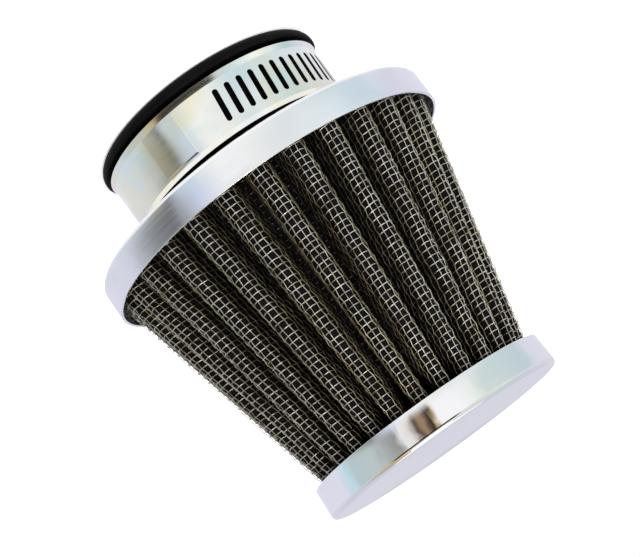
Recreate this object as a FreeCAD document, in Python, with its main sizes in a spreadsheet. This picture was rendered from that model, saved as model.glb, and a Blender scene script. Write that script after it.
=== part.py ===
import FreeCAD, Part
import Sketcher
import math
import os

# Conical clamp-on air filter. Millimetres, +Z along the axis from the inlet mouth (z = 0)
# to the closed end. Angles around the axis are counted from the -Y side towards +X.

sizes = {
    # rubber inlet collar
    "boreRadius": 25.0,
    "neckRadius": 28.0,
    "lipRadius": 30.6,
    "lipHeight": 3.1,
    "lipRound": 2.4,
    "flangeRadius": 32.0,
    "flangeLow": 22.4,
    "gripRadius": 31.4,
    "gripHeight": 1.65,
    # pressed end caps
    "capRadius": 45.5,
    "capPlane": 24.6,
    "skirtEnd": 32.7,
    "capHole": 28.5,
    "capRound": 1.3,
    "sheetGauge": 0.7,
    "endRim": 91.85,
    "endPlane": 99.8,
    "endRimRadius": 31.2,
    "endFaceRadius": 31.6,
    "endRound": 1.2,
    # rings and adhesive
    "ringBore": 26.6,
    "pottingBore": 31.9,
    "bondGap": 0.05,
    # pleated pack, at its two ends
    "packLow": 27.5,
    "packHigh": 97.0,
    "pleatCount": 28,
    "pleatStart": -1.8,
    "crestFacets": 6,
    "troughFacets": 4,
    "ridgeLow": 44.6,
    "ridgeHigh": 27.65,
    "troughLow": 36.7,
    "troughHigh": 18.45,
    "crestCurveLow": 2.9,
    "crestCurveHigh": 1.9,
    "troughCurveLow": 0.65,
    "troughCurveHigh": 0.35,
    "meshGauge": 0.5,
    "mediaGauge": 0.5,
    "clipDepth": 3.6,
    # worm-drive clamp
    "strapBore": 28.05,
    "tailBore": 28.75,
    "bandGauge": 0.6,
    "bandLow": 4.15,
    "bandHigh": 18.95,
    "flareReach": 1.4,
    "flareRise": 0.5,
    "slotPitch": 3.175,
    "slotLength": 8.4,
    "slotWidth": 1.4,
    "slotLean": 6.0,
    "slotCount": 30,
    "slotStart": -6.7,
    "slotsToWorm": 23,
    "tailEnd": -193.0,
    "tailStart": 110.0,
    "strapStart": 75.0,
    "bossMiddle": 23.5,
    "bossSpan": 19.0,
    "bossRise": 0.6,
    "bossLength": 11.0,
    "saddleSpan": 28.0,
    "wormRadius": 4.2,
    "wormCore": 3.25,
    "wormLength": 11.2,
    "wormBite": 0.55,
    "threadCrest": 0.6,
    "threadRoot": 1.5,
    "neckBearing": 2.5,
    "pilotRadius": 1.6,
    "pilotLength": 1.2,
    "screwNeck": 3.0,
    "headFlats": 7.0,
    "headLength": 4.5,
    "headSlotWidth": 1.2,
    "headSlotDepth": 1.6,
    "housingGauge": 0.8,
    "housingLength": 13.2,
    "housingSlack": 0.15,
    "legClear": 0.15,
    "strapGap": 0.2,
    "solidOverlap": 0.1,
}

doc = FreeCAD.newDocument("AirFilter")
dims = doc.addObject("Spreadsheet::Sheet", "dims")
for row, (name, size) in enumerate(sizes.items(), 1):
    dims.set("A%d" % row, name)
    dims.set("B%d" % row, str(size))
    dims.setAlias("B%d" % row, name)
doc.recompute()

UP = FreeCAD.Vector(0, 0, 1)


def worth(expression):
    """The number that an expression over the sheet's cells comes to."""
    return float(bodyless.evalExpression(expression))


def cell(name):
    return "dims." + name


# An empty feature that expressions are worked out against.
bodyless = doc.addObject("App::FeaturePython", "reader")

# Angles and radii that follow from the sheet.
PITCH_ANGLE = "(dims.slotPitch / (dims.tailBore + dims.bandGauge / 2) * 180 / pi)"
WORM_ANGLE = "(dims.slotStart - dims.slotsToWorm * %s)" % PITCH_ANGLE
BAND_MIDDLE = "((dims.bandLow + dims.bandHigh) / 2)"
WORM_CENTRE = "(dims.tailBore + dims.bandGauge + dims.wormRadius - dims.wormBite)"


def turned(angle):
    """Placement that carries the +X side of a piece round to an angle counted from -Y."""
    return FreeCAD.Placement(FreeCAD.Vector(), FreeCAD.Rotation(UP, angle - 90))


def originPlane(body, role):
    return [item for item in body.Origin.OriginFeatures if item.Role == role][0]


def pinPoint(sketch, edge, point, xExpression, yExpression):
    """Holds one end of a sketch edge at a place given by two expressions."""
    for kind, axis, expression in (("DistanceX", -2, xExpression), ("DistanceY", -1, yExpression)):
        distance = worth(expression)
        if abs(distance) < 1e-9:
            sketch.addConstraint(Sketcher.Constraint("PointOnObject", edge, point, axis))
            continue
        index = sketch.addConstraint(Sketcher.Constraint(kind, -1, 1, edge, point, distance))
        sketch.setExpression("Constraints[%d]" % index, expression)


def outline(body, name, points, plane="XZ_Plane", swing=0.0):
    """A closed sketch of straight edges whose corners are pairs of expressions."""
    sketch = body.newObject("Sketcher::SketchObject", name)
    sketch.AttachmentSupport = [(originPlane(body, plane), "")]
    sketch.MapMode = "FlatFace"
    sketch.AttachmentOffset = FreeCAD.Placement(
        FreeCAD.Vector(), FreeCAD.Rotation(FreeCAD.Vector(0, 1, 0), swing))
    corners = [FreeCAD.Vector(worth(x), worth(y), 0) for x, y in points]
    count = len(corners)
    for index in range(count):
        sketch.addGeometry(Part.LineSegment(corners[index], corners[(index + 1) % count]), False)
    for index in range(count):
        sketch.addConstraint(
            Sketcher.Constraint("Coincident", index, 2, (index + 1) % count, 1))
    for index, (x, y) in enumerate(points):
        pinPoint(sketch, index, 1, x, y)
    return sketch


def revolve(body, name, sketch, angle=360.0):
    turn = body.newObject("PartDesign::Revolution", name)
    turn.Profile = (sketch, [""])
    turn.ReferenceAxis = (sketch, ["V_Axis"])
    turn.Angle = angle
    if angle < 360:
        turn.Midplane = True
    doc.recompute()
    return turn


def roundRims(body, name, rims, radius):
    """Fillets the round edges found at the given (radius, height) pairs."""
    base = body.Tip
    places = [(worth(r), worth(z)) for r, z in rims]
    chosen = []
    for index, edge in enumerate(base.Shape.Edges, 1):
        if not isinstance(edge.Curve, Part.Circle):
            continue
        for rimRadius, height in places:
            sameRadius = abs(edge.Curve.Radius - rimRadius) < 1e-4
            if sameRadius and abs(edge.Curve.Center.z - height) < 1e-4:
                chosen.append("Edge%d" % index)
    fillet = body.newObject("PartDesign::Fillet", name)
    fillet.Base = (base, chosen)
    fillet.setExpression("Radius", radius)
    doc.recompute()
    return fillet


def turnedPiece(label, points, angle=360.0):
    body = doc.addObject("PartDesign::Body", label)
    revolve(body, label + "_turn", outline(body, label + "_section", points), angle)
    return body


def makeInletCollar():
    """Rubber spigot: a rounded lip, the neck the clamp sits on, and a groove for the cap."""
    under = "dims.capPlane - dims.bondGap"
    over = "dims.capPlane + dims.sheetGauge + dims.bondGap"
    grip = over + " + dims.gripHeight"
    throat = "dims.capHole - 2 * dims.bondGap"
    body = turnedPiece("inlet_collar", [
        (cell("boreRadius"), "0"),
        (cell("lipRadius"), "0"),
        (cell("lipRadius"), cell("lipHeight")),
        (cell("neckRadius"), cell("lipHeight")),
        (cell("neckRadius"), cell("flangeLow")),
        (cell("flangeRadius"), cell("flangeLow")),
        (cell("flangeRadius"), under),
        (throat, under),
        (throat, over),
        (cell("gripRadius"), over),
        (cell("gripRadius"), grip),
        (cell("boreRadius"), grip),
    ])
    roundRims(body, "lip_round", [(cell("lipRadius"), "0")], cell("lipRound"))
    roundRims(body, "lip_under_round", [(cell("lipRadius"), cell("lipHeight"))], "dims.lipRound / 5")
    return body


def makeRetainingRing():
    low = "dims.capPlane + dims.sheetGauge + dims.gripHeight + 2 * dims.bondGap"
    high = low + " + dims.sheetGauge"
    return turnedPiece("collar_retaining_ring", [
        (cell("ringBore"), low),
        (cell("gripRadius"), low),
        (cell("gripRadius"), high),
        (cell("ringBore"), high),
    ])


def makeTopCap():
    """Pressed steel cap: a flat ring with a short skirt over the wide end of the pack."""
    inner = "dims.capRadius - dims.sheetGauge"
    top = "dims.capPlane + dims.sheetGauge"
    body = turnedPiece("top_end_cap", [
        (cell("capHole"), cell("capPlane")),
        (cell("capRadius"), cell("capPlane")),
        (cell("capRadius"), cell("skirtEnd")),
        (inner, cell("skirtEnd")),
        (inner, top),
        (cell("capHole"), top),
    ])
    roundRims(body, "shoulder", [(cell("capRadius"), cell("capPlane"))], cell("capRound"))
    roundRims(body, "shoulder_inside", [(inner, top)], "dims.capRound - dims.sheetGauge")
    return body


def makeBottomCap():
    """Pressed steel cup that closes the narrow end, a little wider at its flat face."""
    innerRim = "dims.endRimRadius - dims.sheetGauge"
    innerFace = "dims.endFaceRadius - dims.sheetGauge"
    floor = "dims.endPlane - dims.sheetGauge"
    body = turnedPiece("bottom_end_cap", [
        ("0", floor),
        (innerFace, floor),
        (innerRim, cell("endRim")),
        (cell("endRimRadius"), cell("endRim")),
        (cell("endFaceRadius"), cell("endPlane")),
        ("0", cell("endPlane")),
    ])
    roundRims(body, "end_round", [(cell("endFaceRadius"), cell("endPlane"))], cell("endRound"))
    roundRims(body, "end_round_inside", [(innerFace, floor)], "dims.endRound - dims.sheetGauge")
    return body


def makeTopPotting():
    low = "dims.capPlane + dims.sheetGauge + dims.bondGap"
    high = "dims.packLow - dims.bondGap"
    outer = "dims.capRadius - dims.sheetGauge - dims.capRound / 2"
    return turnedPiece("top_potting_ring", [
        (cell("pottingBore"), low),
        (outer, low),
        (outer, high),
        (cell("pottingBore"), high),
    ])


def makeBottomPotting():
    low = "dims.packHigh + dims.bondGap"
    high = "dims.endPlane - dims.sheetGauge - dims.bondGap"
    outer = "dims.endRimRadius - dims.sheetGauge - 2 * dims.bondGap"
    return turnedPiece("bottom_potting_disc", [
        ("0", low),
        (outer, low),
        (outer, high),
        ("0", high),
    ])


def pleatWire(height, ridge, trough, crestCurve, troughCurve, depth):
    """
    One closed wave around the axis: crests and troughs bent in short facets, with straight
    flanks between them. depth moves the wave inwards along its own normal, with the same centres.
    """
    count = int(sizes["pleatCount"])
    half = math.pi / count
    crestRadius = crestCurve - depth
    troughRadius = troughCurve + depth
    crestCentre = FreeCAD.Vector(ridge - crestCurve, 0, 0)
    troughReach = trough + troughCurve
    troughCentre = FreeCAD.Vector(troughReach * math.cos(half), troughReach * math.sin(half), 0)
    span = troughCentre - crestCentre
    normal = math.atan2(span.y, span.x) - math.acos((crestRadius + troughRadius) / span.Length)

    def bend(centre, radius, first, last, facets):
        angles = [first + (last - first) * step / facets for step in range(facets + 1)]
        return [centre + FreeCAD.Vector(math.cos(angle), math.sin(angle), 0) * radius
                for angle in angles]

    crest = bend(crestCentre, crestRadius, -normal, normal, int(sizes["crestFacets"]))
    fold = bend(troughCentre, troughRadius, normal + math.pi, 2 * half - normal + math.pi,
                int(sizes["troughFacets"]))
    start = sizes["pleatStart"] - 90
    points = []
    for pleat in range(count):
        spin = FreeCAD.Rotation(UP, start + math.degrees(2 * half) * pleat)
        points += [spin.multVec(point) + UP * height for point in crest + fold]
    return Part.makePolygon(points + points[:1])


def pleatedSurface(depth):
    """The solid inside one pleated surface, from the low end of the pack to the high end."""
    low = pleatWire(sizes["packLow"], sizes["ridgeLow"], sizes["troughLow"],
                    sizes["crestCurveLow"], sizes["troughCurveLow"], depth)
    high = pleatWire(sizes["packHigh"], sizes["ridgeHigh"], sizes["troughHigh"],
                     sizes["crestCurveHigh"], sizes["troughCurveHigh"], depth)
    return Part.makeLoft([low, high], True, True)


def makePleatedSheet(label, outerDepth, gauge):
    sheet = doc.addObject("Part::Feature", label)
    sheet.Shape = pleatedSurface(outerDepth).cut(pleatedSurface(outerDepth + gauge))
    return sheet


def makeSeamClip():
    """Folded strip inside the pack that closes the two ends of the pleated sheet."""
    backing = 2 * sizes["meshGauge"] + sizes["mediaGauge"] + 4 * sizes["bondGap"]
    halfWidth = sizes["meshGauge"] + sizes["mediaGauge"] / 2
    deep = sizes["clipDepth"]

    def section(height, trough):
        outer = trough - backing
        corners = [(outer - deep, -halfWidth), (outer, -halfWidth),
                   (outer, halfWidth), (outer - deep, halfWidth)]
        points = [FreeCAD.Vector(x, y, height) for x, y in corners]
        return Part.makePolygon(points + points[:1])

    clip = doc.addObject("Part::Feature", "pleat_seam_clip")
    clip.Shape = Part.makeLoft([section(sizes["packLow"], sizes["troughLow"]),
                                section(sizes["packHigh"], sizes["troughHigh"])], True, True)
    pleatAngle = 360.0 / sizes["pleatCount"]
    troughNumber = int(sizes["pleatCount"] / 2) + 0.5
    clip.Placement = turned(sizes["pleatStart"] + pleatAngle * troughNumber)
    return clip


def bandSection(bore):
    """A strip with both long edges turned a little outwards."""
    outer = bore + " + dims.bandGauge"
    return [
        (bore, "dims.bandLow + dims.flareReach"),
        (bore + " + dims.flareRise", cell("bandLow")),
        (outer + " + dims.flareRise", cell("bandLow")),
        (outer, "dims.bandLow + dims.flareReach"),
        (outer, "dims.bandHigh - dims.flareReach"),
        (outer + " + dims.flareRise", cell("bandHigh")),
        (bore + " + dims.flareRise", cell("bandHigh")),
        (bore, "dims.bandHigh - dims.flareReach"),
    ]


def makeStrap():
    """The length of band that runs from the saddle under the slotted length."""
    end = worth(WORM_ANGLE + " + 360 - dims.saddleSpan / 2 - dims.strapGap")
    start = sizes["strapStart"]
    body = turnedPiece("clamp_strap", bandSection(cell("strapBore")), end - start)
    body.Placement = turned((start + end) / 2)
    return body


def slotSketch(body, swing):
    """A slot with round ends that leans from the axis by the lead angle of the worm."""
    sketch = body.newObject("Sketcher::SketchObject", "slot_outline")
    sketch.AttachmentSupport = [(originPlane(body, "YZ_Plane"), "")]
    sketch.MapMode = "FlatFace"
    sketch.AttachmentOffset = FreeCAD.Placement(
        FreeCAD.Vector(), FreeCAD.Rotation(FreeCAD.Vector(0, 1, 0), swing))
    radius = sizes["slotWidth"] / 2
    reach = sizes["slotLength"] / 2 - radius
    lean = math.radians(sizes["slotLean"])
    along = FreeCAD.Vector(math.sin(lean), math.cos(lean), 0)
    across = FreeCAD.Vector(math.cos(lean), -math.sin(lean), 0)
    middle = FreeCAD.Vector(0, worth(BAND_MIDDLE), 0)
    top = middle + along * reach
    bottom = middle - along * reach
    side = across * radius
    sketch.addGeometry(Part.LineSegment(bottom + side, top + side), False)
    sketch.addGeometry(Part.Arc(top + side, top + along * radius, top - side), False)
    sketch.addGeometry(Part.LineSegment(top - side, bottom - side), False)
    sketch.addGeometry(Part.Arc(bottom - side, bottom - along * radius, bottom + side), False)
    for index in range(4):
        sketch.addConstraint(Sketcher.Constraint("Coincident", index, 2, (index + 1) % 4, 1))
    return sketch


def makeTail():
    """The slotted length of band, with a raised stiffening boss before the first slot."""
    middle = (sizes["tailStart"] + sizes["tailEnd"]) / 2
    body = turnedPiece("clamp_slotted_band", bandSection(cell("tailBore")),
                       sizes["tailStart"] - sizes["tailEnd"])
    outer = "dims.tailBore + dims.bandGauge"
    low = BAND_MIDDLE + " - dims.bossLength / 2"
    high = BAND_MIDDLE + " + dims.bossLength / 2"
    boss = outline(body, "boss_section", [
        (outer + " - dims.bandGauge / 2", low),
        (outer + " + dims.bossRise", low),
        (outer + " + dims.bossRise", high),
        (outer + " - dims.bandGauge / 2", high),
    ], swing=sizes["bossMiddle"] - middle)
    revolve(body, "boss", boss, sizes["bossSpan"])
    before = body.Shape.Volume
    pocket = body.newObject("PartDesign::Pocket", "first_slot")
    pocket.Profile = (slotSketch(body, sizes["slotStart"] - middle), [""])
    pocket.setExpression("Length", "dims.tailBore + 4 * dims.bandGauge")
    pocket.Reversed = True
    doc.recompute()
    if body.Shape.Volume >= before:
        raise RuntimeError("the first slot cuts nothing")
    slots = body.newObject("PartDesign::PolarPattern", "slots")
    slots.Originals = [pocket]
    slots.Axis = (originPlane(body, "Z_Axis"), [""])
    slots.Reversed = True
    slots.setExpression("Angle", "%s * (dims.slotCount - 1)" % PITCH_ANGLE)
    slots.setExpression("Occurrences", cell("slotCount"))
    body.Tip = slots
    body.Placement = turned(middle)
    return body


def makeSaddle():
    """Curved base plate that carries the screw housing."""
    low = "dims.bandLow - dims.legClear - dims.housingGauge"
    high = "dims.bandHigh + dims.legClear + dims.housingGauge"
    outer = "dims.strapBore + dims.bandGauge"
    body = turnedPiece("clamp_saddle", [
        (cell("strapBore"), low),
        (outer, low),
        (outer, high),
        (cell("strapBore"), high),
    ], sizes["saddleSpan"])
    body.Placement = turned(worth(WORM_ANGLE))
    return body


def block(name, low, high):
    """A box between two corners given as expressions."""
    box = doc.addObject("Part::Box", name)
    for axis, side in enumerate(("Length", "Width", "Height")):
        box.setExpression(side, "(%s) - (%s)" % (high[axis], low[axis]))
        box.setExpression("Placement.Base." + "xyz"[axis], low[axis])
    return box


def lyingCylinder(name, radius, low, high):
    """A cylinder on the worm's axis, from one distance along it to another."""
    rod = doc.addObject("Part::Cylinder", name)
    rod.setExpression("Radius", radius)
    rod.setExpression("Height", "(%s) - (%s)" % (high, low))
    rod.Placement = FreeCAD.Placement(
        FreeCAD.Vector(), FreeCAD.Rotation(FreeCAD.Vector(1, 0, 0), -90))
    rod.setExpression("Placement.Base.x", WORM_CENTRE)
    rod.setExpression("Placement.Base.y", low)
    rod.setExpression("Placement.Base.z", BAND_MIDDLE)
    return rod


def makeHousing():
    """Pressed tunnel over the worm, with flanges and legs that reach down to the saddle."""
    roomRadius = "dims.wormRadius + dims.housingSlack"
    shellRadius = "%s + dims.housingGauge" % roomRadius
    half = "dims.housingLength / 2"
    room = "(%s - dims.housingGauge)" % half
    shelf = "dims.tailBore + dims.bandGauge + dims.flareRise + 2 * dims.legClear"
    shelfTop = shelf + " + dims.housingGauge"
    legFoot = "dims.strapBore - dims.bandGauge"
    lowLeg = "dims.bandLow - dims.legClear"
    highLeg = "dims.bandHigh + dims.legClear"
    lowSide = "%s - dims.housingGauge" % lowLeg
    highSide = "%s + dims.housingGauge" % highLeg
    lowWall = "%s - (%s)" % (BAND_MIDDLE, shellRadius)
    highWall = "%s + (%s)" % (BAND_MIDDLE, shellRadius)
    solids = doc.addObject("Part::MultiFuse", "housing_solids")
    solids.Shapes = [
        lyingCylinder("housing_tunnel", shellRadius, "-" + half, half),
        block("housing_walls", (shelf, "-" + half, lowWall), (WORM_CENTRE, half, highWall)),
        block("housing_shelf", (shelf, "-" + half, lowSide), (shelfTop, half, highSide)),
        block("housing_low_leg", (legFoot, "-" + half, lowSide), (shelfTop, half, lowLeg)),
        block("housing_high_leg", (legFoot, "-" + half, highLeg), (shelfTop, half, highSide)),
    ]
    saddleRoom = doc.addObject("Part::Cylinder", "saddle_room")
    saddleRoom.setExpression("Radius", "dims.strapBore + dims.bandGauge + dims.bondGap")
    saddleRoom.setExpression("Height", "dims.bandHigh * 2")
    bandRoom = doc.addObject("Part::Cylinder", "band_room")
    bandRoom.setExpression("Radius", shelf)
    bandRoom.setExpression("Height", "(%s) - (%s)" % (highLeg, lowLeg))
    bandRoom.setExpression("Placement.Base.z", lowLeg)
    spaces = doc.addObject("Part::MultiFuse", "housing_spaces")
    spaces.Shapes = [
        lyingCylinder("worm_room", roomRadius, "-" + room, room),
        block("worm_window", (legFoot, "-" + room, "%s - (%s)" % (BAND_MIDDLE, roomRadius)),
              (WORM_CENTRE, room, "%s + %s" % (BAND_MIDDLE, roomRadius))),
        lyingCylinder("neck_bore", "dims.neckBearing + dims.bondGap", "-%s - 1" % half, "0"),
        lyingCylinder("pilot_bore", "dims.pilotRadius + dims.bondGap", "0", half + " + 1"),
        saddleRoom,
        bandRoom,
    ]
    housing = doc.addObject("Part::Cut", "clamp_housing")
    housing.Base = solids
    housing.Tool = spaces
    housing.Placement = turned(worth(WORM_ANGLE))
    return housing


def wormThread():
    """Right-hand thread about Z whose crest faces +X at the middle of its length."""
    pitch = sizes["slotPitch"]
    turns = math.ceil(sizes["wormLength"] / 2 / pitch) + 1
    overlap = sizes["solidOverlap"]
    root = sizes["wormCore"] - overlap
    crest = sizes["wormRadius"] + overlap
    slope = (sizes["threadRoot"] - sizes["threadCrest"]) / (sizes["wormRadius"] - sizes["wormCore"])
    rootHalf = sizes["threadRoot"] / 2 + overlap * slope / 2
    crestHalf = sizes["threadCrest"] / 2 - overlap * slope / 2
    base = -turns * pitch
    corners = [(root, -rootHalf), (crest, -crestHalf), (crest, crestHalf), (root, rootHalf)]
    points = [FreeCAD.Vector(x, 0, base + z) for x, z in corners]
    profile = Part.makePolygon(points + points[:1])
    spine = Part.makeHelix(pitch, 2 * turns * pitch, sizes["wormCore"])
    spine.translate(UP * base)
    return Part.Wire(spine).makePipeShell([profile], True, True)


def makeWormScrew():
    """Worm, bearing neck and slotted hexagon head in one piece, its head on the tail's side."""
    half = sizes["wormLength"] / 2
    headBase = half + sizes["screwNeck"]
    centre = FreeCAD.Vector(0, 0, -half)
    room = Part.makeCylinder(sizes["wormRadius"], sizes["wormLength"], centre)
    screw = Part.makeCylinder(sizes["wormCore"], sizes["wormLength"], centre)
    screw = screw.fuse(wormThread().common(room))
    overlap = sizes["solidOverlap"]
    neck = Part.makeCylinder(sizes["neckBearing"], sizes["screwNeck"] + 2 * overlap,
                             FreeCAD.Vector(0, 0, -headBase - overlap))
    pilot = Part.makeCylinder(sizes["pilotRadius"], sizes["pilotLength"],
                              FreeCAD.Vector(0, 0, half))
    corner = sizes["headFlats"] / 2 / math.cos(math.pi / 6)
    ring = [FreeCAD.Vector(corner * math.cos(step * math.pi / 3),
                           corner * math.sin(step * math.pi / 3), -headBase)
            for step in range(7)]
    head = Part.Face(Part.makePolygon(ring)).extrude(UP * -sizes["headLength"])
    slot = Part.makeBox(4 * corner, sizes["headSlotWidth"], sizes["headSlotDepth"],
                        FreeCAD.Vector(-2 * corner, -sizes["headSlotWidth"] / 2,
                                       -headBase - sizes["headLength"]))
    screw = screw.fuse([neck, pilot, head.cut(slot)]).removeSplitter()
    lie = FreeCAD.Placement(
        FreeCAD.Vector(worth(WORM_CENTRE), 0, worth(BAND_MIDDLE)),
        FreeCAD.Rotation(FreeCAD.Vector(-1, 0, 0), UP, FreeCAD.Vector(0, 1, 0), "XYZ"))
    worm = doc.addObject("Part::Feature", "worm_screw")
    worm.Shape = screw
    worm.Placement = turned(worth(WORM_ANGLE)).multiply(lie)
    return worm


def makeAll():
    gap = sizes["bondGap"]
    mesh = sizes["meshGauge"]
    mediaDepth = mesh + gap
    innerDepth = mediaDepth + sizes["mediaGauge"] + gap
    return [
        makeInletCollar(),
        makeRetainingRing(),
        makeTopCap(),
        makeTopPotting(),
        makePleatedSheet("outer_wire_mesh", 0.0, mesh),
        makePleatedSheet("filter_media", mediaDepth, sizes["mediaGauge"]),
        makePleatedSheet("inner_wire_mesh", innerDepth, mesh),
        makeSeamClip(),
        makeBottomPotting(),
        makeBottomCap(),
        makeStrap(),
        makeTail(),
        makeSaddle(),
        makeHousing(),
        makeWormScrew(),
    ]


def checkDocument(pieces):
    for item in doc.Objects:
        if "Invalid" in item.State or "Error" in item.State:
            raise RuntimeError("%s did not compute: %s" % (item.Label, item.State))
    for piece in pieces:
        shape = piece.Shape
        if shape.isNull() or not shape.isValid():
            raise RuntimeError("%s has no valid shape" % piece.Label)
        print("%-22s solids %d  volume %9.1f  z %6.2f to %6.2f" % (
            piece.Label, len(shape.Solids), shape.Volume, shape.BoundBox.ZMin, shape.BoundBox.ZMax))


pieces = makeAll()
doc.recompute()
checkDocument(pieces)
os.makedirs("parts", exist_ok=True)
for piece in pieces:
    piece.Shape.exportStep("parts/%s.step" % piece.Label)
print("worm angle", worth(WORM_ANGLE), "pitch angle", worth(PITCH_ANGLE))
print("worm centre", worth(WORM_CENTRE), "height", worth(BAND_MIDDLE))
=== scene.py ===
import math
import random

import bpy
import numpy as np
from mathutils import Matrix, Vector, noise


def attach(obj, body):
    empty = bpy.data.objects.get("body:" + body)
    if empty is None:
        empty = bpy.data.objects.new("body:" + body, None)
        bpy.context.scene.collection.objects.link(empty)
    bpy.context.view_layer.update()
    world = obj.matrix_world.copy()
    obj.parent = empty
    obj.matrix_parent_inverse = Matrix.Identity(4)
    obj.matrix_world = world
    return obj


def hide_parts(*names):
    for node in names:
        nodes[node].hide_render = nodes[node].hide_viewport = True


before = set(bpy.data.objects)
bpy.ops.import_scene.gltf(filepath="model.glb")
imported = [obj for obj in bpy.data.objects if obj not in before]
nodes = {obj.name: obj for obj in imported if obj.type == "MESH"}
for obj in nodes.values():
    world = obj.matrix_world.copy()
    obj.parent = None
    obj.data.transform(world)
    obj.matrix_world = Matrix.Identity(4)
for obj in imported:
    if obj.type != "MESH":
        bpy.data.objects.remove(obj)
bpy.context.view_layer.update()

mm = 0.001
bpy.ops.object.select_all(action="DESELECT")
print("frame loaded, nodes:", len(nodes))


def hexColour(text):
    # an sRGB hex colour, turned to linear
    parts = [int(text[i:i + 2], 16) / 255 for i in (1, 3, 5)]
    linear = [p / 12.92 if p <= 0.04045 else ((p + 0.055) / 1.055) ** 2.4 for p in parts]
    return (*linear, 1.0)


def addNode(tree, kind, settings=None, links=None):
    # stops fill a colour ramp; any other setting goes on the node if it has an attribute of that
    # name, and on its socket if not
    node = tree.nodes.new(kind)
    for name, value in (settings or {}).items():
        if name == "stops":
            while len(node.color_ramp.elements) < len(value):
                node.color_ramp.elements.new(0.5)
            for element, (position, tone) in zip(node.color_ramp.elements, value):
                element.position = position
                element.color = hexColour(tone) if isinstance(tone, str) else (tone, tone, tone, 1)
        elif isinstance(name, str) and hasattr(node, name):
            setattr(node, name, value)
        else:
            node.inputs[name].default_value = value
    for name, socket in (links or {}).items():
        tree.links.new(socket, node.inputs[name])
    return node


def newFinish(name):
    material = bpy.data.materials.new(name)
    material.use_nodes = True
    tree = material.node_tree
    tree.nodes.clear()
    out = addNode(tree, "ShaderNodeOutputMaterial")
    shader = addNode(tree, "ShaderNodeBsdfPrincipled")
    tree.links.new(shader.outputs[0], out.inputs[0])
    place = addNode(tree, "ShaderNodeTexCoord").outputs["Object"]
    return material, tree, shader, place


def fillSockets(tree, shader, sources):
    for name, source in sources.items():
        tree.links.new(source, shader.inputs[name])


def aroundAxis(tree, place, around, across):
    # the angle, radius and height of a point, each stretched on its own
    split = addNode(tree, "ShaderNodeSeparateXYZ", links={0: place})
    angle = addNode(tree, "ShaderNodeMath", {"operation": "ARCTAN2"},
                    {0: split.outputs[0], 1: split.outputs[1]})
    turn = addNode(tree, "ShaderNodeMath", {"operation": "MULTIPLY", 1: around},
                   {0: angle.outputs[0]})
    flat = addNode(tree, "ShaderNodeVectorMath", {"operation": "MULTIPLY", 1: (1, 1, 0)},
                   {0: place})
    reach = addNode(tree, "ShaderNodeVectorMath", {"operation": "LENGTH"}, {0: flat.outputs[0]})
    wide = addNode(tree, "ShaderNodeMath", {"operation": "MULTIPLY", 1: across},
                   {0: reach.outputs["Value"]})
    high = addNode(tree, "ShaderNodeMath", {"operation": "MULTIPLY", 1: across},
                   {0: split.outputs[2]})
    return addNode(tree, "ShaderNodeCombineXYZ",
                   links={0: turn.outputs[0], 1: wide.outputs[0], 2: high.outputs[0]}).outputs[0]


rubberLook = {"grain": 0.5 * mm, "patch": 9 * mm, "tones": [(0.35, "#030303"), (0.7, "#080808")],
              "roughness": [(0.3, 0.5), (0.7, 0.68)], "ior": 1.52, "specular": 0.05,
              "grainDepth": 0.03 * mm, "grainStrength": 0.6}


def mouldedRubber(look):
    # nitrile rubber, moulded: matt black with a soft sheen and a fine mould grain
    material, tree, shader, place = newFinish("mouldedNitrileRubber")
    grain = addNode(tree, "ShaderNodeTexNoise", {"Scale": 1 / look["grain"], "Detail": 3.0},
                    {"Vector": place})
    patch = addNode(tree, "ShaderNodeTexNoise", {"Scale": 1 / look["patch"], "Detail": 2.0},
                    {"Vector": place})
    black = addNode(tree, "ShaderNodeValToRGB", {"stops": look["tones"]}, {0: patch.outputs[0]})
    sheen = addNode(tree, "ShaderNodeValToRGB", {"stops": look["roughness"]},
                    {0: grain.outputs[0]})
    relief = addNode(tree, "ShaderNodeBump",
                     {"Distance": look["grainDepth"], "Strength": look["grainStrength"]},
                     {"Height": grain.outputs[0]})
    shader.inputs["IOR"].default_value = look["ior"]
    shader.inputs["Specular IOR Level"].default_value = look["specular"]
    fillSockets(tree, shader, {"Base Color": black.outputs[0], "Roughness": sheen.outputs[0],
                               "Normal": relief.outputs[0]})
    return material


def platedSteel(name, look):
    # plated pressed steel: reflects the room, blurred a little along the lines of its turning
    material, tree, shader, place = newFinish(name)
    lines = addNode(tree, "ShaderNodeTexNoise", {"Scale": 1.0, "Detail": 4.0},
                    {"Vector": aroundAxis(tree, place, look["lineRuns"], 1 / look["linePitch"])})
    tint = addNode(tree, "ShaderNodeTexNoise", {"Scale": 1 / look["tintSize"], "Detail": 2.0},
                   {"Vector": place})
    plate = addNode(tree, "ShaderNodeValToRGB", {"stops": look["tints"]}, {0: tint.outputs[0]})
    blur = addNode(tree, "ShaderNodeValToRGB",
                   {"stops": [(0.3, look["smooth"]), (0.7, look["rough"])]},
                   {0: lines.outputs[0]})
    dents = addNode(tree, "ShaderNodeTexNoise", {"Scale": 1 / look["dentSize"], "Detail": 1.0},
                    {"Vector": place})
    hollows = addNode(tree, "ShaderNodeBump", {"Distance": look["dentDepth"], "Strength": 1.0},
                      {"Height": dents.outputs[0]})
    relief = addNode(tree, "ShaderNodeBump", {"Distance": look["lineDepth"], "Strength": 0.5},
                     {"Height": lines.outputs[0], "Normal": hollows.outputs[0]})
    shader.inputs["Metallic"].default_value = 1.0
    fillSockets(tree, shader, {"Base Color": plate.outputs[0], "Roughness": blur.outputs[0],
                               "Normal": relief.outputs[0]})
    return material


wireLook = {"strand": 2.2 * mm, "scratch": 0.2 * mm, "scratchDepth": 0.01 * mm,
            "scratchStrength": 0.5, "roughness": [(0.3, 0.24), (0.75, 0.42)],
            "zinc": [(0.3, "#a8997a"), (0.46, "#d3cfc2"), (0.7, "#f0eee4")]}

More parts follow.
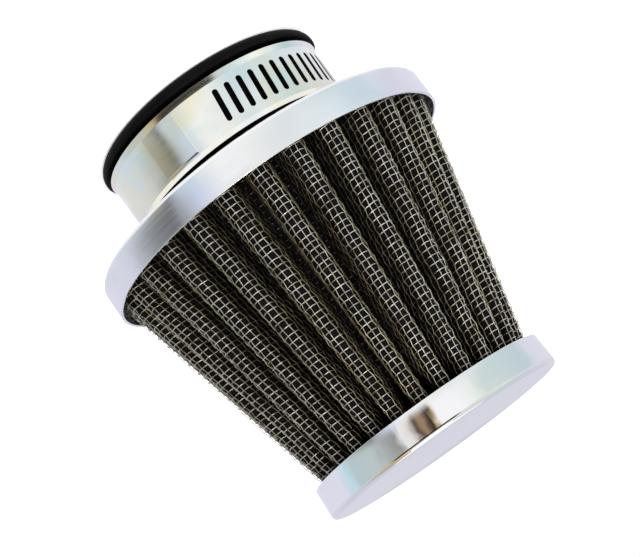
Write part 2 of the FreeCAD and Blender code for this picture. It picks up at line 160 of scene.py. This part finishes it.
# painted shade: how far in from the cone over the ridges the wires darken, and that cone's two
# ends, each a height and a radius
foldShade = {"coneLow": (27.5 * mm, 44.6 * mm), "coneHigh": (97.0 * mm, 27.65 * mm), "depth": 8 * mm,
        "tones": [(0.0, "#ffffff"), (0.12, "#f6f1e6"), (0.28, "#cfc3aa"), (0.5, "#a59e90"),
                  (0.9, "#7d776c")]}


def coatedWire(look):
    # zinc-coated steel wire: pale and warm where it stands proud, and made duller and browner down
    # in the folds by painted shade
    material, tree, shader, place = newFinish("zincCoatedWire")
    strand = addNode(tree, "ShaderNodeTexNoise", {"Scale": 1 / look["strand"], "Detail": 3.0},
                     {"Vector": place})
    split = addNode(tree, "ShaderNodeSeparateXYZ", links={0: place})
    flat = addNode(tree, "ShaderNodeVectorMath", {"operation": "MULTIPLY", 1: (1, 1, 0)},
                   {0: place})
    reach = addNode(tree, "ShaderNodeVectorMath", {"operation": "LENGTH"}, {0: flat.outputs[0]})
    (lowHeight, lowRadius), (highHeight, highRadius) = foldShade["coneLow"], foldShade["coneHigh"]
    cone = addNode(tree, "ShaderNodeMapRange",
                   {1: lowHeight, 2: highHeight, 3: lowRadius, 4: highRadius},
                   {0: split.outputs[2]})
    inward = addNode(tree, "ShaderNodeMath", {"operation": "SUBTRACT"},
                     {0: cone.outputs[0], 1: reach.outputs["Value"]})
    share = addNode(tree, "ShaderNodeMapRange", {1: 0.0, 2: foldShade["depth"]},
                    {0: inward.outputs[0]})
    # painted shade: darker the deeper a wire lies in a fold, multiplied into the zinc colour below
    foldShadeTone = addNode(tree, "ShaderNodeValToRGB", {"stops": foldShade["tones"]}, {0: share.outputs[0]})
    zinc = addNode(tree, "ShaderNodeValToRGB", {"stops": look["zinc"]}, {0: strand.outputs[0]})
    colour = addNode(tree, "ShaderNodeMix",
                     {"data_type": "RGBA", "blend_type": "MULTIPLY", 0: 1.0},
                     {6: zinc.outputs[0], 7: foldShadeTone.outputs[0]})
    blur = addNode(tree, "ShaderNodeValToRGB", {"stops": look["roughness"]},
                   {0: strand.outputs[0]})
    scratches = addNode(tree, "ShaderNodeTexNoise", {"Scale": 1 / look["scratch"], "Detail": 2.0},
                        {"Vector": place})
    relief = addNode(tree, "ShaderNodeBump",
                     {"Distance": look["scratchDepth"], "Strength": look["scratchStrength"]},
                     {"Height": scratches.outputs[0]})
    shader.inputs["Metallic"].default_value = 1.0
    fillSockets(tree, shader, {"Base Color": colour.outputs[2], "Roughness": blur.outputs[0],
                               "Normal": relief.outputs[0]})
    return material


gauzeLook = {"weave": 0.5 * mm, "stain": 6 * mm, "tones": [(0.3, "#030203"), (0.7, "#09070b")],
             "roughness": [(0.1, 0.75), (0.8, 0.95)], "specular": 0.08,
             "weaveDepth": 0.12 * mm, "weaveStrength": 0.8}


def oiledGauze(look):
    # oiled cotton gauze: almost black, matt, with a 0.5 mm open weave and a purple cast
    material, tree, shader, place = newFinish("oiledCottonGauze")
    weave = addNode(tree, "ShaderNodeTexVoronoi", {"Scale": 1 / look["weave"]}, {"Vector": place})
    stain = addNode(tree, "ShaderNodeTexNoise", {"Scale": 1 / look["stain"], "Detail": 3.0},
                    {"Vector": place})
    cloth = addNode(tree, "ShaderNodeValToRGB", {"stops": look["tones"]}, {0: stain.outputs[0]})
    matt = addNode(tree, "ShaderNodeValToRGB", {"stops": look["roughness"]},
                   {0: weave.outputs[0]})
    relief = addNode(tree, "ShaderNodeBump",
                     {"Distance": look["weaveDepth"], "Strength": look["weaveStrength"]},
                     {"Height": weave.outputs[0]})
    shader.inputs["Specular IOR Level"].default_value = look["specular"]
    fillSockets(tree, shader, {"Base Color": cloth.outputs[0], "Roughness": matt.outputs[0],
                               "Normal": relief.outputs[0]})
    return material


pottingLook = {"swirl": 5 * mm, "tones": [(0.35, "#141416"), (0.7, "#222225")],
               "roughness": [(0.35, 0.35), (0.7, 0.5)], "swirlDepth": 0.1 * mm,
               "swirlStrength": 0.5}


def castPotting(look):
    # cast polyurethane: black, smooth, with a faint swirl from pouring
    material, tree, shader, place = newFinish("castPolyurethane")
    swirl = addNode(tree, "ShaderNodeTexNoise",
                    {"Scale": 1 / look["swirl"], "Detail": 2.0, "Distortion": 1.5},
                    {"Vector": place})
    black = addNode(tree, "ShaderNodeValToRGB", {"stops": look["tones"]}, {0: swirl.outputs[0]})
    sheen = addNode(tree, "ShaderNodeValToRGB", {"stops": look["roughness"]},
                    {0: swirl.outputs[0]})
    relief = addNode(tree, "ShaderNodeBump",
                     {"Distance": look["swirlDepth"], "Strength": look["swirlStrength"]},
                     {"Height": swirl.outputs[0]})
    fillSockets(tree, shader, {"Base Color": black.outputs[0], "Roughness": sheen.outputs[0],
                               "Normal": relief.outputs[0]})
    return material


# lineRuns is how many changes fit in a radian round the axis; the real lines are near 0.05 mm,
# and are drawn at 0.2 mm and coarser so that they show
finishes = {
    "top": {"lineRuns": 2.0, "linePitch": 0.3 * mm, "lineDepth": 0.004 * mm, "tintSize": 14 * mm,
            "tints": [(0.3, "#ebedf2"), (0.7, "#f7f8fa")], "smooth": 0.12, "rough": 0.24,
            "dentSize": 22 * mm, "dentDepth": 0.12 * mm},
    "end": {"lineRuns": 3.0, "linePitch": 0.5 * mm, "lineDepth": 0.001 * mm, "tintSize": 18 * mm,
            "tints": [(0.3, "#f0f0f5"), (0.7, "#f9f9fb")], "smooth": 0.04, "rough": 0.09,
            "dentSize": 16 * mm, "dentDepth": 0.1 * mm},
    "band": {"lineRuns": 2.0, "linePitch": 0.25 * mm, "lineDepth": 0.003 * mm, "tintSize": 16 * mm,
             "tints": [(0.3, "#dfeaee"), (0.48, "#f4f5f2"), (0.6, "#f2eedb"), (0.74, "#dfedf3")],
             "smooth": 0.12, "rough": 0.22, "dentSize": 12 * mm, "dentDepth": 0.06 * mm},
    "screw": {"lineRuns": 1.0, "linePitch": 0.2 * mm, "lineDepth": 0.003 * mm, "tintSize": 3 * mm,
              "tints": [(0.3, "#c4c8c8"), (0.7, "#dad6bd")], "smooth": 0.2, "rough": 0.34,
              "dentSize": 2 * mm, "dentDepth": 0.02 * mm},
    "plain": {"lineRuns": 2.0, "linePitch": 0.3 * mm, "lineDepth": 0.004 * mm, "tintSize": 5 * mm,
              "tints": [(0.3, "#8f9193"), (0.7, "#a9abad")], "smooth": 0.3, "rough": 0.45,
              "dentSize": 8 * mm, "dentDepth": 0.05 * mm},
}
rubber = mouldedRubber(rubberLook)
topPlate = platedSteel("brightNickelledSteel", finishes["top"])
endPlate = platedSteel("polishedChromedSteel", finishes["end"])
zincPlate = platedSteel("passivatedZincPlate", finishes["band"])
screwPlate = platedSteel("zincPlatedScrewSteel", finishes["screw"])
plainSteel = platedSteel("bareRolledSteel", finishes["plain"])
zincWire = coatedWire(wireLook)
gauze = oiledGauze(gauzeLook)
potting = castPotting(pottingLook)
print("finishes made")


def chooseBySlots(names, material):
    for name in names:
        node = nodes[name]
        if not node.material_slots:
            node.data.materials.append(material)
        for slot in node.material_slots:
            slot.material = material


chooseBySlots(["clamp_strap", "clamp_saddle", "clamp_housing", "clamp_slotted_band"], zincPlate)
chooseBySlots(["worm_screw"], screwPlate)
chooseBySlots(["collar_retaining_ring", "pleat_seam_clip"], plainSteel)
chooseBySlots(["top_potting_ring", "bottom_potting_disc"], potting)

turnedForm = {"steps": 192, "cornerSteps": 7, "joinGap": 0.002 * mm}


def roundedOutline(corners):
    # corners are (radius, height, rounding) in millimetres, in order; the rounded ones become arcs
    points = []
    for index, (radius, height, rounding) in enumerate(corners):
        here = Vector((radius, height))
        if not rounding:
            points.append(here)
            continue
        before = Vector(corners[index - 1][:2])
        after = Vector(corners[(index + 1) % len(corners)][:2])
        back, on = (before - here).normalized(), (after - here).normalized()
        half = back.angle(on) / 2
        centre = here + (back + on).normalized() * rounding / math.sin(half)
        start, end = here + back * rounding / math.tan(half), here + on * rounding / math.tan(half)
        for step in range(turnedForm["cornerSteps"] + 1):
            mixed = start.lerp(end, step / turnedForm["cornerSteps"]) - centre
            points.append(centre + mixed.normalized() * rounding)
    return points


def turnPiece(name, corners, closed):
    # one vertex drawn out along the outline, then spun round the axis
    points = [p * mm for p in roundedOutline(corners)]
    bpy.ops.object.select_all(action="DESELECT")
    bpy.ops.mesh.primitive_plane_add(size=mm)
    piece = bpy.context.object
    piece.name = name
    bpy.ops.object.mode_set(mode="EDIT")
    bpy.ops.mesh.merge(type="CENTER")
    bpy.ops.transform.translate(value=(points[0].x, 0, points[0].y))
    for last, point in zip(points, points[1:]):
        bpy.ops.mesh.extrude_region_move(
            TRANSFORM_OT_translate={"value": (point.x - last.x, 0, point.y - last.y)})
    if closed:
        bpy.ops.object.mode_set(mode="OBJECT")
        for vertex in piece.data.vertices:
            vertex.select = vertex.index in (0, len(points) - 1)
        bpy.ops.object.mode_set(mode="EDIT")
        bpy.ops.mesh.edge_face_add()
    bpy.ops.mesh.select_all(action="SELECT")
    bpy.ops.mesh.spin(steps=turnedForm["steps"], angle=2 * math.pi, center=(0, 0, 0),
                      axis=(0, 0, 1))
    bpy.ops.mesh.select_all(action="SELECT")
    bpy.ops.mesh.remove_doubles(threshold=turnedForm["joinGap"])
    bpy.ops.mesh.normals_make_consistent(inside=False)
    bpy.ops.object.mode_set(mode="OBJECT")
    return piece


def finishPiece(piece, material, body, replaced, smoothAngle=30):
    # a smoothAngle of None leaves the shading as it is
    piece.data.materials.clear()
    piece.data.materials.append(material)
    bpy.ops.object.select_all(action="DESELECT")
    piece.select_set(True)
    bpy.context.view_layer.objects.active = piece
    if smoothAngle:
        bpy.ops.object.shade_smooth_by_angle(angle=math.radians(smoothAngle))
    piece.select_set(False)
    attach(piece, body)
    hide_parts(*replaced)
    return piece


# radii and heights in millimetres, as are the caps'
collarForm = {"bore": 25, "neck": 28, "lip": 30.6, "lipHeight": 3.1, "lipRound": 2.4,
              "mouthRound": 0.5, "flange": 32, "flangeLow": 22.4, "capLow": 24.55,
              "capHigh": 25.35, "throat": 28.4, "grip": 31.4, "gripTop": 27.0, "softRound": 0.3}


def makeCollar():
    form = collarForm
    return turnPiece("rubberCollar", [
        (form["bore"], 0, form["mouthRound"]),
        (form["lip"], 0, form["lipRound"]),
        (form["lip"], form["lipHeight"], form["mouthRound"]),
        (form["neck"], form["lipHeight"], form["softRound"]),
        (form["neck"], form["flangeLow"], form["softRound"]),
        (form["flange"], form["flangeLow"], form["softRound"]),
        (form["flange"], form["capLow"], form["softRound"]),
        (form["throat"], form["capLow"], 0),
        (form["throat"], form["capHigh"], 0),
        (form["grip"], form["capHigh"], form["softRound"]),
        (form["grip"], form["gripTop"], form["softRound"]),
        (form["bore"], form["gripTop"], form["softRound"]),
    ], True)


finishPiece(makeCollar(), rubber, "filter", ["inlet_collar"])

capForm = {"hole": 28.5, "plane": 24.6, "outer": 45.5, "skirt": 32.7, "shoulder": 1.3, "gauge": 0.7,
           "edge": 0.15, "endFace": 31.6, "endRim": 31.2, "endPlane": 99.8, "endSkirt": 91.85,
           "endRound": 1.2, "centre": 0.0}


def makeTopCap():
    form, gauge = capForm, capForm["gauge"]
    return turnPiece("wideEndCap", [
        (form["hole"], form["plane"], form["edge"]),
        (form["outer"], form["plane"], form["shoulder"]),
        (form["outer"], form["skirt"], form["edge"]),
        (form["outer"] - gauge, form["skirt"], form["edge"]),
        (form["outer"] - gauge, form["plane"] + gauge, form["shoulder"] - gauge),
        (form["hole"], form["plane"] + gauge, form["edge"]),
    ], True)


def makeEndCap():
    form, gauge = capForm, capForm["gauge"]
    return turnPiece("closedEndCap", [
        (form["centre"], form["endPlane"] - gauge, 0),
        (form["endFace"] - gauge, form["endPlane"] - gauge, form["endRound"] - gauge),
        (form["endRim"] - gauge, form["endSkirt"], form["edge"]),
        (form["endRim"], form["endSkirt"], form["edge"]),
        (form["endFace"], form["endPlane"], form["endRound"]),
        (form["centre"], form["endPlane"], 0),
    ], False)


finishPiece(makeTopCap(), topPlate, "filter", ["top_end_cap"])
finishPiece(makeEndCap(), endPlate, "filter", ["bottom_end_cap"])
print("collar and caps made")

# the folded pack, with the sizes of its two ends in millimetres and degrees
packForm = {"low": 27.5, "high": 97.0, "pleats": 28, "firstRidge": -1.8,
            "ridge": (44.6, 27.65), "trough": (36.7, 18.45), "crestCurve": (2.9, 1.9),
            "troughCurve": (0.65, 0.35), "wiresPerPleat": 13, "rows": 45, "arcSteps": 10,
            "directionReach": 0.004}  # directionReach is a share of one pleat's sheet


def foldLine(share, samples, depth):
    # one pleat from ridge to ridge, at even steps along the sheet, and the sheet's direction
    form = packForm
    ridge, trough, crestCurve, troughCurve = (
        form[key][0] + (form[key][1] - form[key][0]) * share
        for key in ("ridge", "trough", "crestCurve", "troughCurve"))
    half = math.pi / form["pleats"]
    crestCentre = Vector((ridge - crestCurve, 0))
    troughCentre = Vector((math.cos(half), math.sin(half))) * (trough + troughCurve)
    span = troughCentre - crestCentre
    crestRadius, troughRadius = crestCurve - depth, troughCurve + depth
    normal = math.atan2(span.y, span.x) - math.acos((crestRadius + troughRadius) / span.length)
    steps = form["arcSteps"]
    line = [crestCentre + Vector((math.cos(a), math.sin(a))) * crestRadius
            for a in np.linspace(0, normal, steps)]
    line += [troughCentre + Vector((math.cos(a), math.sin(a))) * troughRadius
             for a in np.linspace(normal + math.pi, 2 * half - normal + math.pi, steps)]
    turned = 2 * half
    nextCentre = Vector((math.cos(turned), math.sin(turned))) * (ridge - crestCurve)
    line += [nextCentre + Vector((math.cos(a), math.sin(a))) * crestRadius
             for a in np.linspace(turned - normal, turned, steps)]
    line = np.array([tuple(p) for p in line])
    legs = np.linalg.norm(np.diff(line, axis=0), axis=1)
    along = np.concatenate([[0], np.cumsum(legs)])
    at = np.arange(samples) / samples * along[-1]
    place = np.stack([np.interp(at, along, line[:, k]) for k in (0, 1)], axis=1)
    reach = along[-1] * form["directionReach"]
    ahead = np.stack([np.interp(at + reach, along, line[:, k]) for k in (0, 1)], axis=1)
    behind = np.stack([np.interp(at - reach, along, line[:, k]) for k in (0, 1)], axis=1)
    direction = ahead - behind
    direction /= np.linalg.norm(direction, axis=1)[:, None]
    return place, direction


def foldGrid(rows, samples, depth):
    # places, directions along the sheet and outward normals for every row, all the way round
    places, tangents = [], []
    form = packForm
    for row in range(rows):
        share = row / (rows - 1)
        place, tangent = foldLine(share, samples, depth)
        height = form["low"] + (form["high"] - form["low"]) * share
        ring, ringTangent = [], []
        for pleat in range(form["pleats"]):
            spin = math.radians(form["firstRidge"] - 90 + 360 / form["pleats"] * pleat)
            turn = np.array([[math.cos(spin), math.sin(spin)], [-math.sin(spin), math.cos(spin)]])
            ring.append(place @ turn)
            ringTangent.append(tangent @ turn)
        ring, ringTangent = np.concatenate(ring), np.concatenate(ringTangent)
        places.append(np.column_stack([ring, np.full(len(ring), height)]))
        tangents.append(np.column_stack([ringTangent, np.zeros(len(ringTangent))]))
    places, tangents = np.array(places) * mm, np.array(tangents)
    normals = np.stack([tangents[..., 1], -tangents[..., 0], tangents[..., 2]], axis=-1)
    return places, tangents, normals


wireForm = {"radius": 0.105 * mm, "crimp": 0.17 * mm, "sway": 0.45 * mm, "swaySize": 11 * mm,
            "stray": 0.16 * mm, "seed": 7, "liftNoise": Vector((50, 0, 0))}

# depth is how far in from the ridge line a sheet lies, in millimetres
weaves = {
    "outerWeave": {"depth": 0.25, "node": "outer_wire_mesh", "sectors": 6, "roundness": 1},
    "innerWeave": {"depth": 1.35, "node": "inner_wire_mesh", "sectors": 4, "roundness": 0},
}


def wovenSheet(name, weave, material):
    # square plain weave: each wire passes over and under the ones it meets, all round the folds
    form, wire, sectors = packForm, wireForm, weave["sectors"]
    perPleat = form["wiresPerPleat"]
    places, tangents, normals = foldGrid(form["rows"], perPleat * 2, weave["depth"])
    rows, count = places.shape[:2]
    draw = random.Random(wire["seed"])
    warpStray = [draw.uniform(-1, 1) * wire["stray"] for _ in range(count // 2)]
    rowStray = [draw.uniform(-1, 1) * wire["stray"] for _ in range(rows)]
    up = np.array([0, 0, 1.0])
    for row in range(rows):
        for k in range(count):
            at = Vector(places[row, k]) / wire["swaySize"]
            sideways = noise.noise(at) * wire["sway"] + warpStray[(k // 2) % len(warpStray)]
            lift = noise.noise(at + wire["liftNoise"]) * wire["sway"] + rowStray[row]
            if row in (0, rows - 1):
                lift = 0
            places[row, k] += tangents[row, k] * sideways + up * lift
    for sector in range(sectors):
        first = (count * sector // sectors) // 2 * 2
        last = (count * (sector + 1) // sectors) // 2 * 2
        paths = []
        for k in range(first, last, 2):
            over = np.array([1 if (row + k // 2) % 2 == 0 else -1 for row in range(rows)])
            paths.append(places[:, k] + normals[:, k] * (over * wire["crimp"])[:, None])
        for row in range(rows):
            ks = np.arange(first, last + 1) % count
            over = np.array([0 if k % 2 else (-1 if (row + k // 2) % 2 == 0 else 1) for k in ks])
            paths.append(places[row, ks] + normals[row, ks] * (over * wire["crimp"])[:, None])
        curve = bpy.data.curves.new(name, "CURVE")
        curve.dimensions = "3D"
        curve.bevel_depth = wire["radius"]
        curve.bevel_resolution = weave["roundness"]
        curve.use_fill_caps = True
        for path in paths:
            spline = curve.splines.new("POLY")
            spline.points.add(len(path) - 1)
            spline.points.foreach_set("co", np.column_stack([path, np.ones(len(path))]).ravel())
        strand = bpy.data.objects.new(f"{name}{sector + 1}", curve)
        bpy.context.scene.collection.objects.link(strand)
        bpy.ops.object.select_all(action="DESELECT")
        strand.select_set(True)
        bpy.context.view_layer.objects.active = strand
        bpy.ops.object.convert(target="MESH")
        strand = bpy.context.object
        bpy.ops.object.shade_smooth()
        finishPiece(strand, material, "filter", [weave["node"]], None)


for weaveName, weaveForm in weaves.items():
    wovenSheet(weaveName, weaveForm, zincWire)
print("wire meshes woven")

gauzeForm = {"rows": 14, "perPleat": 28, "depth": 0.55, "gauge": 0.5, "bulge": 0.05 * mm,
             "bulgeSize": 3 * mm, "joinGap": 0.001 * mm, "smoothAngle": 40, "facesTested": 200}


def makeGauze():
    form = gauzeForm
    places, _, normals = foldGrid(form["rows"], form["perPleat"], form["depth"])
    rows, count = places.shape[:2]
    bpy.ops.object.select_all(action="DESELECT")
    bpy.ops.mesh.primitive_grid_add(x_subdivisions=count, y_subdivisions=rows - 1, size=mm)
    sheet = bpy.context.object
    sheet.name = "foldedGauze"
    spots = []
    for row in range(rows):
        for k in list(range(count)) + [0]:
            puff = noise.noise(places[row, k] / form["bulgeSize"]) * form["bulge"]
            spots.append(places[row, k] - normals[row, k] * abs(puff))
    sheet.data.vertices.foreach_set("co", np.array(spots).ravel())
    bpy.ops.object.mode_set(mode="EDIT")
    bpy.ops.mesh.select_all(action="SELECT")
    bpy.ops.mesh.remove_doubles(threshold=form["joinGap"])
    bpy.ops.object.mode_set(mode="OBJECT")
    thick = sheet.modifiers.new("thickness", "SOLIDIFY")
    thick.thickness = form["gauge"] * mm
    thick.offset = -1
    bpy.ops.object.modifier_apply(modifier=thick.name)
    return sheet


gauzeSheet = finishPiece(makeGauze(), gauze, "filter", ["filter_media"],
                         gauzeForm["smoothAngle"])
tested = gauzeSheet.data.polygons[:gauzeForm["facesTested"]]
outward = sum(face.normal.x * face.center.x + face.normal.y * face.center.y for face in tested)
print("gauze folded, outer faces point outwards:", outward > 0)

# floor, a drum of soft tones for the metal to reflect, lights
studio = {"floorSize": 8.0, "floorDrop": 0.05 * mm, "floorGlow": 0.4, "floorRoughness": 0.9,
          "paperScale": 3.0, "paper": [(0.0, "#fafafa"), (1.0, "#fdfdfd")], "white": "#ffffff",
          "world": 1.0, "lampAim": (0, 0, 0.05), "drumRadius": 0.5, "drumLow": -0.32,
          "drumHigh": 1.2, "drumSides": 96, "raggedSize": 0.06, "ragged": 0.13}

# tones by the angle round the axis, in degrees from -Y towards +X, for five heights on the drum;
# a surface at angle a reflects the tone at 2a
drumTones = {
    "under": [(-180, "#f2f2f8"), (-100, "#e4eef2"), (-60, "#d3e3e6"), (-14, "#f6f8f4"),
              (10, "#fdfdfb"), (26, "#e9efe4"), (32, "#c9dcea"), (43, "#dcebf4"), (48, "#62655f"),
              (53, "#b7b39c"), (64, "#c9c7b4"), (72, "#dfe8ea"), (100, "#dfe9f2"),
              (180, "#f2f2f8")],
    "low": [(-180, "#e9e8f4"), (-110, "#e4e2ee"), (-85, "#cfe0e8"), (-60, "#e6eff2"),
            (-15, "#f0f1ee"), (4, "#fbfcfb"), (14, "#ffffff"), (22, "#eceef6"), (32, "#cfd8f0"),
            (42, "#b9bcc6"), (50, "#67686b"), (66, "#7d7f82"), (80, "#abadb1"), (96, "#dcdbe8"),
            (180, "#e9e8f4")],
    "middle": [(-180, "#e4e2f0"), (-118, "#dfe0ea"), (-104, "#c6d6da"), (-80, "#cbdcdb"),
               (-54, "#d5e2dc"), (-42, "#f3f7ee"), (-26, "#ffffff"), (-6, "#ffffff"),
               (-3, "#cdb58c"), (0, "#1d1a16"), (6, "#a88c70"), (13, "#54463b"), (18, "#e9e2da"),
               (25, "#f4f3f1"), (31, "#9b9a97"), (42, "#a9adab"), (56, "#bccac8"),
               (80, "#b9cbcc"), (90, "#c3e0ea"), (102, "#e2e2ee"), (180, "#e4e2f0")],
    "corner": [(-180, "#d8d8e4"), (-110, "#dcdce6"), (-60, "#d9e0d8"), (-24, "#e4e6df"),
               (-18, "#29241f"), (10, "#1f1b18"), (40, "#3a3129"), (47, "#d0b98a"),
               (70, "#c6cccb"), (110, "#dcdce6"), (180, "#d8d8e4")],
    "high": [(-180, "#cfcfdc"), (-120, "#d4d4e2"), (-90, "#cdd6cf"), (-30, "#dfe4d8"),
             (20, "#d7cfb8"), (44, "#cbb98e"), (60, "#b3a88e"), (90, "#c4cccb"), (120, "#d4d4e2"),
             (180, "#cfcfdc")],
}
drumHeights = {"lowFrom": -0.16, "lowTo": -0.125, "middleFrom": -0.045, "middleTo": -0.01,
               "cornerFrom": 0.06, "cornerTo": 0.08, "highFrom": 0.24, "highTo": 0.32}


def makeDrum():
    form = studio
    bpy.ops.object.select_all(action="DESELECT")
    bpy.ops.mesh.primitive_cylinder_add(vertices=form["drumSides"], radius=form["drumRadius"],
                                        depth=form["drumHigh"] - form["drumLow"],
                                        end_fill_type="NOTHING", location=(0, 0, 0))
    drum = bpy.context.object
    drum.name = "reflectionDrum"
    for vertex in drum.data.vertices:
        vertex.co.z += (form["drumHigh"] + form["drumLow"]) / 2
    material = bpy.data.materials.new("paintedDrum")
    material.use_nodes = True
    tree = material.node_tree
    tree.nodes.clear()
    place = addNode(tree, "ShaderNodeTexCoord").outputs["Object"]
    split = addNode(tree, "ShaderNodeSeparateXYZ", links={0: place})
    back = addNode(tree, "ShaderNodeMath", {"operation": "MULTIPLY", 1: -1}, {0: split.outputs[1]})
    angle = addNode(tree, "ShaderNodeMath", {"operation": "ARCTAN2"},
                    {0: split.outputs[0], 1: back.outputs[0]})
    rough = addNode(tree, "ShaderNodeTexNoise", {"Scale": 1 / form["raggedSize"], "Detail": 6.0},
                    {"Vector": place})
    shift = addNode(tree, "ShaderNodeMapRange", {3: -form["ragged"], 4: form["ragged"]},
                    {0: rough.outputs[0]})
    torn = addNode(tree, "ShaderNodeMath", {"operation": "ADD"},
                   {0: angle.outputs[0], 1: shift.outputs[0]})
    share = addNode(tree, "ShaderNodeMapRange", {1: -math.pi, 2: math.pi}, {0: torn.outputs[0]})
    tones = {}
    for name, stops in drumTones.items():
        turned = [((degrees + 180) / 360, tone) for degrees, tone in stops]
        tones[name] = addNode(tree, "ShaderNodeValToRGB", {"stops": turned},
                              {0: share.outputs[0]}).outputs[0]
    colour, heights = tones["under"], drumHeights
    for name in ("low", "middle", "corner", "high"):
        factor = addNode(tree, "ShaderNodeMapRange",
                         {"interpolation_type": "SMOOTHSTEP", 1: heights[name + "From"],
                          2: heights[name + "To"]}, {0: split.outputs[2]})
        colour = addNode(tree, "ShaderNodeMix", {"data_type": "RGBA"},
                         {0: factor.outputs[0], 6: colour, 7: tones[name]}).outputs[2]
    glow = addNode(tree, "ShaderNodeEmission", links={"Color": colour})
    out = addNode(tree, "ShaderNodeOutputMaterial")
    tree.links.new(glow.outputs[0], out.inputs[0])
    drum.data.materials.append(material)
    drum.visible_camera = drum.visible_diffuse = drum.visible_shadow = False
    drum.visible_transmission = False


makeDrum()

bpy.ops.object.select_all(action="DESELECT")
bpy.ops.mesh.primitive_plane_add(size=studio["floorSize"], location=(0, 0, 0))
floor = bpy.context.object
floor.name = "studioFloor"
for vertex in floor.data.vertices:
    vertex.co.z = -studio["floorDrop"]
floorPaint, floorTree, floorShader, floorPlace = newFinish("paleMattPaper")
paper = addNode(floorTree, "ShaderNodeTexNoise", {"Scale": studio["paperScale"]},
                {"Vector": floorPlace})
pale = addNode(floorTree, "ShaderNodeValToRGB", {"stops": studio["paper"]}, {0: paper.outputs[0]})
fillSockets(floorTree, floorShader, {"Base Color": pale.outputs[0]})
floorShader.inputs["Emission Color"].default_value = hexColour(studio["white"])
floorShader.inputs["Emission Strength"].default_value = studio["floorGlow"]
floorShader.inputs["Roughness"].default_value = studio["floorRoughness"]
floor.data.materials.append(floorPaint)
floor.visible_glossy = False

world = bpy.data.worlds.new("softRoom")
bpy.context.scene.world = world
world.use_nodes = True
background = world.node_tree.nodes["Background"]
background.inputs["Color"].default_value = hexColour(studio["white"])
background.inputs["Strength"].default_value = studio["world"]

# each lamp's place, the length of its side and its power in watts
lamps = {
    "keyPanel": ((0.1, -0.6, 0.75), 0.5, 9.0),
    "sidePanel": ((-0.75, -0.3, 0.3), 0.5, 4.0),
}
for lampName, (spot, side, watts) in lamps.items():
    lamp = bpy.data.lights.new(lampName, "AREA")
    lamp.size = side
    lamp.energy = watts
    lampObject = bpy.data.objects.new(lampName, lamp)
    bpy.context.scene.collection.objects.link(lampObject)
    lampObject.location = spot
    facing = Vector(studio["lampAim"]) - Vector(spot)
    lampObject.rotation_euler = facing.to_track_quat("-Z", "Y").to_euler()

cameraForm = {"place": (0, -0.37772, 0.12817), "right": (-0.81169, 0.12023, 0.5716),
              "up": (-0.58408, -0.16017, -0.7957), "ahead": (0.00411, 0.97974, -0.2002),
              "lens": 91.39, "sensor": 36.0, "nearest": 0.01}
camera = bpy.data.objects.new("camera", bpy.data.cameras.new("camera"))
bpy.context.scene.collection.objects.link(camera)
camera.data.lens = cameraForm["lens"]
camera.data.sensor_width = cameraForm["sensor"]
camera.data.clip_start = cameraForm["nearest"]
axes = [Vector(cameraForm["right"]), Vector(cameraForm["up"]), -Vector(cameraForm["ahead"])]
camera.matrix_world = (Matrix.Translation(cameraForm["place"])
                       @ Matrix([a.normalized() for a in axes]).transposed().to_4x4())
bpy.context.scene.camera = camera
bpy.context.scene.view_settings.view_transform = "Standard"
print("studio ready")
